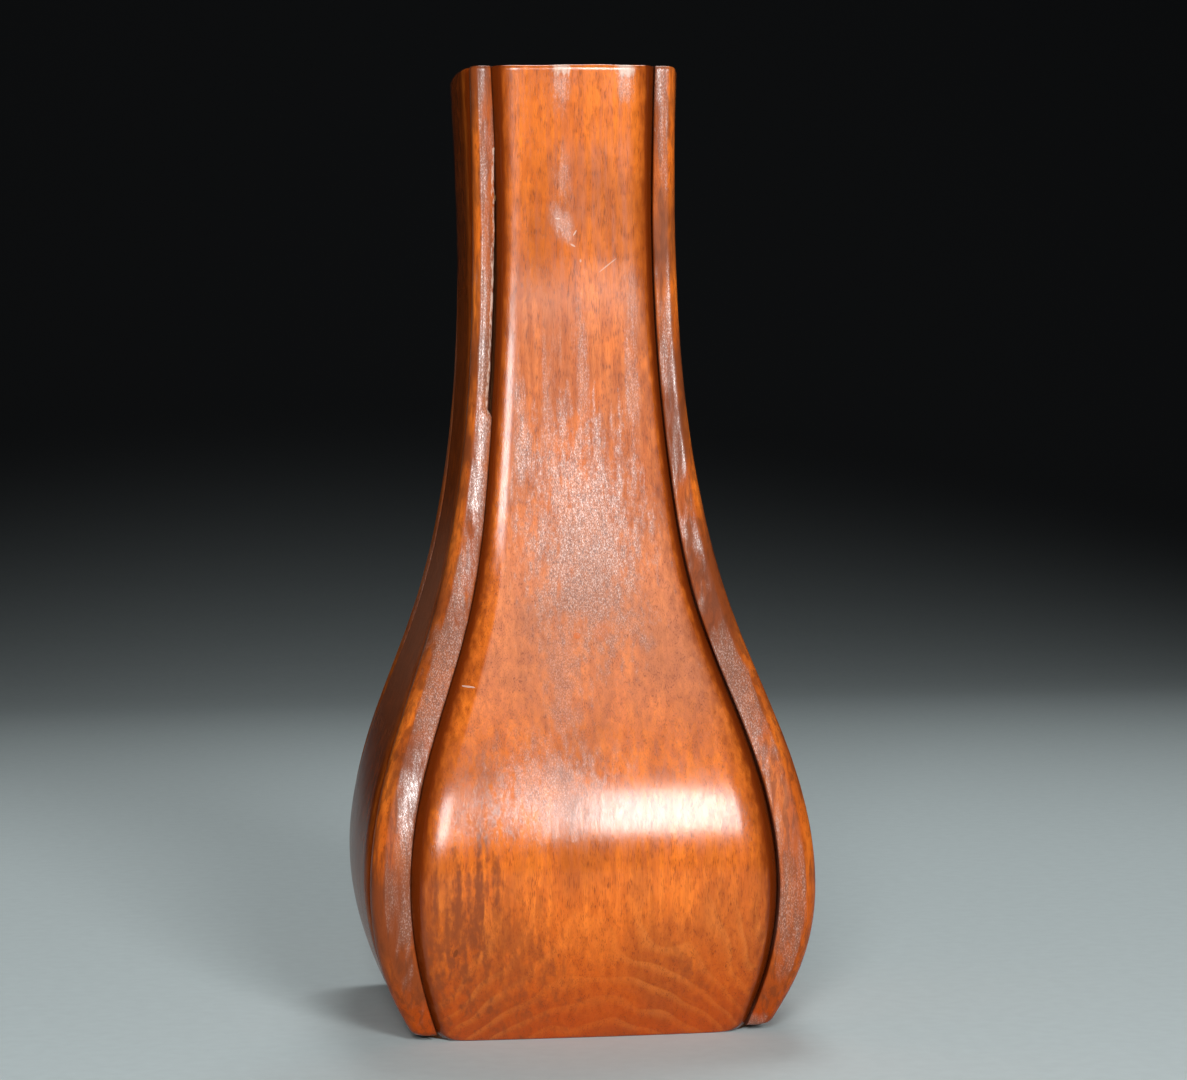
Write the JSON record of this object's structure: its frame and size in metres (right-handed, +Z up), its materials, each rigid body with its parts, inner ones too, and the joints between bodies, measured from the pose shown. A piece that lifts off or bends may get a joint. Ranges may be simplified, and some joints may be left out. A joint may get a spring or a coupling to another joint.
{
  "type": "square wooden vase",
  "caption": "Square baluster vase in lacquered wood: crowned side panels between set-back corner posts, a swelling body, a slender neck and an open square mouth for stems.",
  "frame": {"origin": "centre of the foot, on the resting plane", "axes": "+Z up through the mouth, the panels face +X, +Y, -X and -Y, and the front panel faces -Y"},
  "size_m": [0.1036, 0.1036, 0.22],
  "materials": {
    "panel_wood": "glossy orange-brown lacquer over fine vertical grain",
    "post_wood": "satin, worn lacquer, darker and greyer than the panels",
    "board_wood": "dull, unlacquered",
    "pin_bamboo": "plain bamboo"
  },
  "bodies": {
    "root": {"front_panel": "panel_wood", "right_panel": "panel_wood", "back_panel": "panel_wood", "left_panel": "panel_wood", "back_right_post": "post_wood", "back_left_post": "post_wood", "front_left_post": "post_wood", "front_right_post": "post_wood", "bottom_board": "board_wood", "front_panel_pin_1a": "pin_bamboo", "front_panel_pin_1b": "pin_bamboo", "front_panel_pin_2a": "pin_bamboo", "front_panel_pin_2b": "pin_bamboo", "front_panel_pin_3a": "pin_bamboo", "front_panel_pin_3b": "pin_bamboo", "right_panel_pin_1a": "pin_bamboo", "right_panel_pin_1b": "pin_bamboo", "right_panel_pin_2a": "pin_bamboo", "right_panel_pin_2b": "pin_bamboo", "right_panel_pin_3a": "pin_bamboo", "right_panel_pin_3b": "pin_bamboo", "back_panel_pin_1a": "pin_bamboo", "back_panel_pin_1b": "pin_bamboo", "back_panel_pin_2a": "pin_bamboo", "back_panel_pin_2b": "pin_bamboo", "back_panel_pin_3a": "pin_bamboo", "back_panel_pin_3b": "pin_bamboo", "left_panel_pin_1a": "pin_bamboo", "left_panel_pin_1b": "pin_bamboo", "left_panel_pin_2a": "pin_bamboo", "left_panel_pin_2b": "pin_bamboo", "left_panel_pin_3a": "pin_bamboo", "left_panel_pin_3b": "pin_bamboo"}
  },
  "joints": []
}
